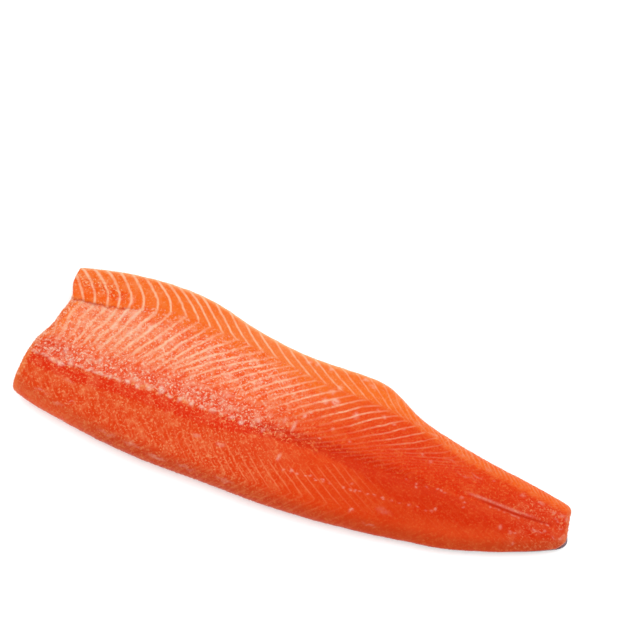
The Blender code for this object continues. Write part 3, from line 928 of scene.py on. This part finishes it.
def fat_line(count, pitch, width, show):
    """How much fat shows: full on the line, none a little beyond width from it."""
    moved_count = add(tree, "Math", {"operation": "MULTIPLY_ADD"}, {0: fray, 1: FRAYING, 2: count})
    folded = add(tree, "Math", {"operation": "PINGPONG"}, {0: moved_count, 1: 0.5})
    off = add(tree, "Math", {"operation": "MULTIPLY"}, {0: folded, 1: pitch})
    share = add(tree, "Math", {"operation": "DIVIDE"}, {0: off, 1: width})
    soft = add(
        tree, "MapRange", {"interpolation_type": "SMOOTHSTEP"},
        {"Value": share, "From Min": 0.1, "From Max": 1.15, "To Min": 1.0, "To Max": 0.0},
    )
    shown = add(tree, "Math", {"operation": "MULTIPLY"}, {0: soft, 1: show})
    clamped = {"operation": "MULTIPLY", "use_clamp": True}
    return add(tree, "Math", clamped, {0: shown, 1: presence})


upper_fat = fat_line(
    field["upper_count"], field["upper_pitch"], field["upper_width"], field["upper_show"]
)
loin_fat = fat_line(
    field["loin_count"], field["loin_pitch"], LOIN_LINE_WIDTH, field["loin_show"]
)

# %% [markdown]
# The grain: two fine noises, one for pale crumbs, which also stand for painted glints, and one
# for dark pits, a millimetre or two across. The fibres are a third noise that is read along the
# segments: its first coordinate is the segment count and the others run slowly, so it draws
# streaks beside the fat lines. A fourth noise, about 8 mm across, gives the slow mottling.

# %% Grain, fibres and mottling
CRUMBS_AND_GLINTS_PER_METRE = 500.0
PITS_PER_METRE = 460.0
MOTTLES_PER_METRE = 120.0
STREAKS_PER_SEGMENT = 3.6
STREAK_ENDS_PER_METRE = 110.0
pale_noise = add(
    tree, "TexNoise", None,
    {"Vector": here, "Scale": CRUMBS_AND_GLINTS_PER_METRE, "Detail": 3.0, "Roughness": 0.7},
)
dark_noise = add(
    tree, "TexNoise", {"noise_dimensions": "4D"},
    {"Vector": here, "W": 3.0, "Scale": PITS_PER_METRE, "Detail": 3.0, "Roughness": 0.7},
)
slow_noise = add(
    tree, "TexNoise", None, {"Vector": here, "Scale": MOTTLES_PER_METRE, "Detail": 3.0}
)
parts = add(tree, "SeparateXYZ", None, {"Vector": here}).node.outputs
streaks = add(
    tree, "Math", {"operation": "MULTIPLY"},
    {0: field["fibre_count"], 1: STREAKS_PER_SEGMENT},
)
slowly = add(tree, "Math", {"operation": "MULTIPLY"}, {0: parts["Y"], 1: STREAK_ENDS_PER_METRE})
fibre_place = add(tree, "CombineXYZ", None, {"X": streaks, "Y": slowly, "Z": parts["Z"]})
fibre_noise = add(
    tree, "TexNoise", None,
    {"Vector": fibre_place, "Scale": 1.0, "Detail": 3.0, "Roughness": 0.65},
)


def shown_above(noise, low, high, most, strength):
    """How much of a layer shows where a noise is high, times a field of its strength."""
    share = add(
        tree, "MapRange", None,
        {"Value": noise, "From Min": low, "From Max": high, "To Min": 0.0, "To Max": most},
    )
    return add(tree, "Math", {"operation": "MULTIPLY"}, {0: share, 1: strength})


# the pale specks are partly crumbs of torn flesh and partly painted glints
pale_share = shown_above(pale_noise, 0.53, 0.64, 0.78, field["grain"])
dark_share = shown_above(dark_noise, 0.50, 0.61, 0.62, field["grain"])
pale_fibres = shown_above(fibre_noise, 0.50, 0.72, 0.40, field["fibres"])
dark_fibres = shown_above(fibre_noise, 0.48, 0.26, 0.30, field["fibres"])
broken_fat = add(
    tree, "MapRange", None,
    {"Value": dark_noise, "From Min": 0.40, "From Max": 0.56, "To Min": 0.4, "To Max": 1.0},
)
loose_fat_and_sheen = add(tree, "Math", {"operation": "MULTIPLY"}, {0: field["fat"], 1: broken_fat})
pale_mottle = shown_above(slow_noise, 0.50, 0.75, 0.40, field["grain"])
deep_mottle = shown_above(slow_noise, 0.50, 0.25, 0.60, field["grain"])

# %% [markdown]
# The colours go on from the broadest to the finest: slow mottling, fibres, fat lines, then
# the crumbs, with their painted glints, that break those lines up, the loose fat with its few
# painted sheen streaks, and last the deep red of the furrow, partly its own colour and partly
# painted shade, with the painted shadow under the step of the belly strip. A pale layer is
# mixed in, and a deep one is multiplied, so it takes the tint of what lies below.

# %% Colour of the flesh
DEEPER = (0.93, 0.42, 0.25, 1.0)
LAYERS = (
    (deep_mottle, DEEPER, "MULTIPLY"),
    (pale_mottle, field["crumbs_and_glints"], "MIX"),
    (dark_fibres, DEEPER, "MULTIPLY"),
    (pale_fibres, field["crumbs_and_glints"], "MIX"),
    (loin_fat, socket_colour("#FF9464"), "MIX"),
    (upper_fat, socket_colour("#FFC8A4"), "MIX"),
    (dark_share, DEEPER, "MULTIPLY"),
    (pale_share, field["crumbs_and_glints"], "MIX"),
    (loose_fat_and_sheen, socket_colour("#FFD0BC"), "MIX"),
    # deep red painted shade in the furrow and painted shadow under the strip step
    (field["shadow"], socket_colour("#C82204"), "MIX"),
)
colour = field["ground"]
for share, top, blend in LAYERS:
    kind = {"data_type": "RGBA", "blend_type": blend}
    colour = add(tree, "Mix", kind, {0: share, 6: colour, 7: top}, out=2)

# %% [markdown]
# Raw flesh is moist, yet under this wide light it has no white shine. So the gloss is kept
# low and tinted orange, and it varies from patch to patch. Fine bumps break it up, so that
# it glistens in points and not in one sheet, and the pale crumbs add painted glints. A little
# light sinks in, which softens the edges of the fat.

# %% Moisture and fine bumps
bump_height = add(
    tree, "Math", {"operation": "MULTIPLY_ADD"},
    {0: pale_noise, 1: field["grain"], 2: dark_noise},
)
bumpy = add(tree, "Bump", None, {"Strength": 0.5, "Distance": 0.0004, "Height": bump_height})
dullness = add(
    tree, "MapRange", None,
    {"Value": patchy, "From Min": 0.3, "From Max": 0.7, "To Min": 0.3, "To Max": 0.45},
)
set_inputs(flesh_shader, {
    "Base Color": colour, "Normal": bumpy, "Roughness": dullness,
    "Specular IOR Level": 0.2, "Specular Tint": (1.0, 0.42, 0.15, 1.0),
    "Subsurface Weight": 0.08, "Subsurface Radius": (1.0, 0.35, 0.2), "Subsurface Scale": 0.0012,
})
flesh_mesh.materials.append(flesh_material)

# %% [markdown]
# ## The skin
# The skin backs the whole fillet and curls up along the back and belly edges. Seen from
# above it shows only as a thin dark line at the tail. It is made as the flesh was, from one
# grid and its twin, and its outer face carries rows of small scales in relief.

# %% Skin slab
SKIN_ROWS = 72
SKIN_COLUMNS = 300
SKIN_TAIL_CORNERS = (0.0060, 0.0040)
SKIN_INSET = 0.0004
skin_reach_line = smooth_line((
    (0.0, -0.0010), (0.62, -0.0008), (0.74, -0.0004), (0.82, 0.0001), (0.90, 0.0003),
    (0.96, 0.0007), (1.0, 0.0014),
))
skin_places = np.linspace(0, len(FLESH_ROWS), SKIN_ROWS + 1)
skin_columns = column_places(SKIN_COLUMNS)
head_tuck = HEAD_SLANT + SKIN_INSET
skin_x, skin_y = plan(
    skin_columns, skin_places, head_tuck, skin_tail_cut_line, 0.0, SKIN_TAIL_CORNERS
)
back, belly = back_edge(skin_x), belly_edge(skin_x)
back_out = back + back_tuck_line(share_along(skin_x)) - skin_reach_line(share_along(skin_x))
belly_in = belly - BELLY_TUCK - SKIN_INSET
skin_y = back_out + (skin_y - back) * (belly_in - back_out) / (belly - back)
skin_z = underside(skin_x, skin_y)
skin_mesh = closed_slab(
    "skin_body", (skin_x, skin_y, skin_z + SKIN), (skin_x, skin_y, skin_z), 0, 0
)

# %% [markdown]
# Two fields are enough here: where a point lies between the back edge and the belly edge,
# and whether it is on the inner face, which is a greyish purple.

# %% Skin fields
sx, sy, sz = read_vectors(skin_mesh, "co").T
side = (sy - back_edge(sx)) / (belly_edge(sx) - back_edge(sx))
inner = (sz - underside(sx, sy) > SKIN / 2).astype(float)
store(skin_mesh, "side", side + 0.03 * ripple(MM * sx, MM * sy, 40, 31))
store(skin_mesh, "inner", inner)
skin_mesh.set_sharp_from_angle(angle=np.radians(60))
skin_mesh.transform(Matrix.Translation((-MIDDLE, 0.0, 0.0)))
skin_piece = put_in_scene("skin_body", skin_mesh)
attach(skin_piece, "root")
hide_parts("skin")

# %% [markdown]
# ## The finish of the skin
# Salmon skin goes from nearly black on the back through silver to white under the belly.
# The scales lie in slanting rows, about 4.3 mm from one to the next along the fish. Two
# folded counts, one for each slant, draw the net between them. The skin is wet, so it has a
# low roughness and a thin clear coat, which give it a sharp glint at a low angle.

# %% Scales
SCALE_LENGTH = 0.0043
SCALE_HEIGHT = 0.0036
NICKS_PER_METRE = 300.0
BLOTCHES_PER_METRE = 45.0
skin_material, tree, skin_shader = new_material("scaled fish skin, wet")
here = add(tree, "TexCoord", out="Object")
skin_side = add(tree, "Attribute", {"attribute_name": "side"}, out="Fac")
skin_inner = add(tree, "Attribute", {"attribute_name": "inner"}, out="Fac")
scale_noise = add(tree, "TexNoise", None, {"Vector": here, "Scale": NICKS_PER_METRE, "Detail": 2.0})
blotches = add(tree, "TexNoise", None, {"Vector": here, "Scale": BLOTCHES_PER_METRE, "Detail": 4.0})
folds = []
for slant in (1.0, -1.0):
    run = add(
        tree, "VectorMath", {"operation": "DOT_PRODUCT"},
        {0: here, 1: (1 / SCALE_LENGTH, slant / SCALE_HEIGHT, 0.0)}, out="Value",
    )
    shaken = add(tree, "Math", {"operation": "MULTIPLY_ADD"}, {0: scale_noise, 1: 0.25, 2: run})
    folds.append(add(tree, "Math", {"operation": "PINGPONG"}, {0: shaken, 1: 0.5}))
nearest = add(tree, "Math", {"operation": "MINIMUM"}, {0: folds[0], 1: folds[1]})
net = add(
    tree, "MapRange", {"interpolation_type": "SMOOTHSTEP"},
    {"Value": nearest, "From Min": 0.02, "From Max": 0.16, "To Min": 1.0, "To Max": 0.0},
)

# %% [markdown]
# The colour ramp runs across the fish. The net is darker than the scales on the back and
# fades on the belly, and the inner face covers everything with its purple grey.

# %% Colour of the skin
ramp_output = add(tree, "ValToRGB", None, {"Fac": skin_side})
ramp = ramp_output.node.color_ramp
STOPS = (
    (0.0, "#26272B"), (0.22, "#33363B"), (0.42, "#7C8086"), (0.6, "#B9B8BC"), (0.78, "#DDD9D6"),
    (1.0, "#E9CFC0"),
)
for position, hex_colour in STOPS[1:-1]:
    ramp.elements.new(position)
for element, (position, hex_colour) in zip(ramp.elements, STOPS):
    element.color = socket_colour(hex_colour)
shade = add(
    tree, "MapRange", None,
    {"Value": blotches, "From Min": 0.3, "From Max": 0.7, "To Min": 0.8, "To Max": 1.2},
)
toned = add(
    tree, "HueSaturation", None,
    {"Hue": 0.5, "Saturation": 1.0, "Value": shade, "Fac": 1.0, "Color": ramp_output},
)
net_share = add(
    tree, "MapRange", None,
    {"Value": skin_side, "From Min": 0.45, "From Max": 0.85, "To Min": 0.55, "To Max": 0.08},
)
net_shown = add(tree, "Math", {"operation": "MULTIPLY"}, {0: net, 1: net_share})
netted = add(
    tree, "Mix", {"data_type": "RGBA"},
    {0: net_shown, 6: toned, 7: socket_colour("#17181B")}, out=2,
)
lined = add(
    tree, "Mix", {"data_type": "RGBA"},
    {0: skin_inner, 6: netted, 7: socket_colour("#8B7480")}, out=2,
)
scale_height = add(tree, "Math", {"operation": "MULTIPLY_ADD"}, {0: net, 1: -1.0, 2: scale_noise})
scaly = add(tree, "Bump", None, {"Strength": 0.6, "Distance": 0.0004, "Height": scale_height})
set_inputs(skin_shader, {
    "Base Color": lined, "Normal": scaly, "Roughness": 0.28, "Specular IOR Level": 0.5,
    "Coat Weight": 0.3, "Coat Roughness": 0.15,
})
skin_mesh.materials.append(skin_material)

# %% [markdown]
# ## Worktop, light and camera
# The fillet lies on a top of matt white laminate, which shows no pattern and no glint.

# %% Worktop
floor_mesh = bpy.data.meshes.new("worktop")
sheet = bmesh.new()
bmesh.ops.create_grid(sheet, x_segments=1, y_segments=1, size=4.0)
sheet.to_mesh(floor_mesh)
sheet.free()
floor_material, tree, floor_shader = new_material("matt white laminate")
set_inputs(floor_shader, {
    "Base Color": (0.96, 0.96, 0.96, 1.0), "Roughness": 0.8, "Specular IOR Level": 0.1,
})
floor_mesh.materials.append(floor_material)
floor = put_in_scene("worktop", floor_mesh)

# %% [markdown]
# A bright even surround and one wide soft lamp beyond the belly side give light without hard
# shadows.

# %% Light
world = bpy.data.worlds.new("even surround")
bpy.context.scene.world = world
world.use_nodes = True
surround = world.node_tree.nodes["Background"]
set_inputs(surround, {"Color": (1.0, 1.0, 1.0, 1.0), "Strength": 1.5})


def soft_lamp(name, place, aim, size, power):
    """A square area lamp at a place, turned to face the aim."""
    lamp = bpy.data.lights.new(name, "AREA")
    lamp.shape = "SQUARE"
    lamp.size = size
    lamp.energy = power
    stand = put_in_scene(name, lamp)
    stand.location = place
    stand.rotation_mode = "QUATERNION"
    stand.rotation_quaternion = (Vector(aim) - Vector(place)).to_track_quat("-Z", "Y")


soft_lamp("wide lamp", (0.2, 1.35, 1.15), (0.0, 0.0, 0.0), 1.2, 7.0)

# %% [markdown]
# The camera stands beyond the back edge, turned 23 degrees, and looks down at 70 degrees
# through a long lens. The standard view keeps the colours as they are mixed.

# %% Camera
AZIMUTH = np.radians(23.0)
ELEVATION = np.radians(70.0)
DISTANCE = 1.3637
TARGET = Vector((-0.02391 - MIDDLE, 0.10204, 0.0))
towards = Vector((
    np.sin(AZIMUTH) * np.cos(ELEVATION), -np.cos(AZIMUTH) * np.cos(ELEVATION), np.sin(ELEVATION)
))
right = Vector((np.cos(AZIMUTH), np.sin(AZIMUTH), 0.0))
up = towards.cross(right)
camera_data = bpy.data.cameras.new("camera")
camera_data.lens = 85.0
camera_data.sensor_width = 36.0
camera = put_in_scene("camera", camera_data)
turn = Matrix((right, up, towards)).transposed().to_4x4()
camera.matrix_world = Matrix.Translation(TARGET + towards * DISTANCE) @ turn
bpy.context.scene.camera = camera
bpy.context.scene.view_settings.view_transform = "Standard"
bpy.context.scene.view_settings.look = "None"
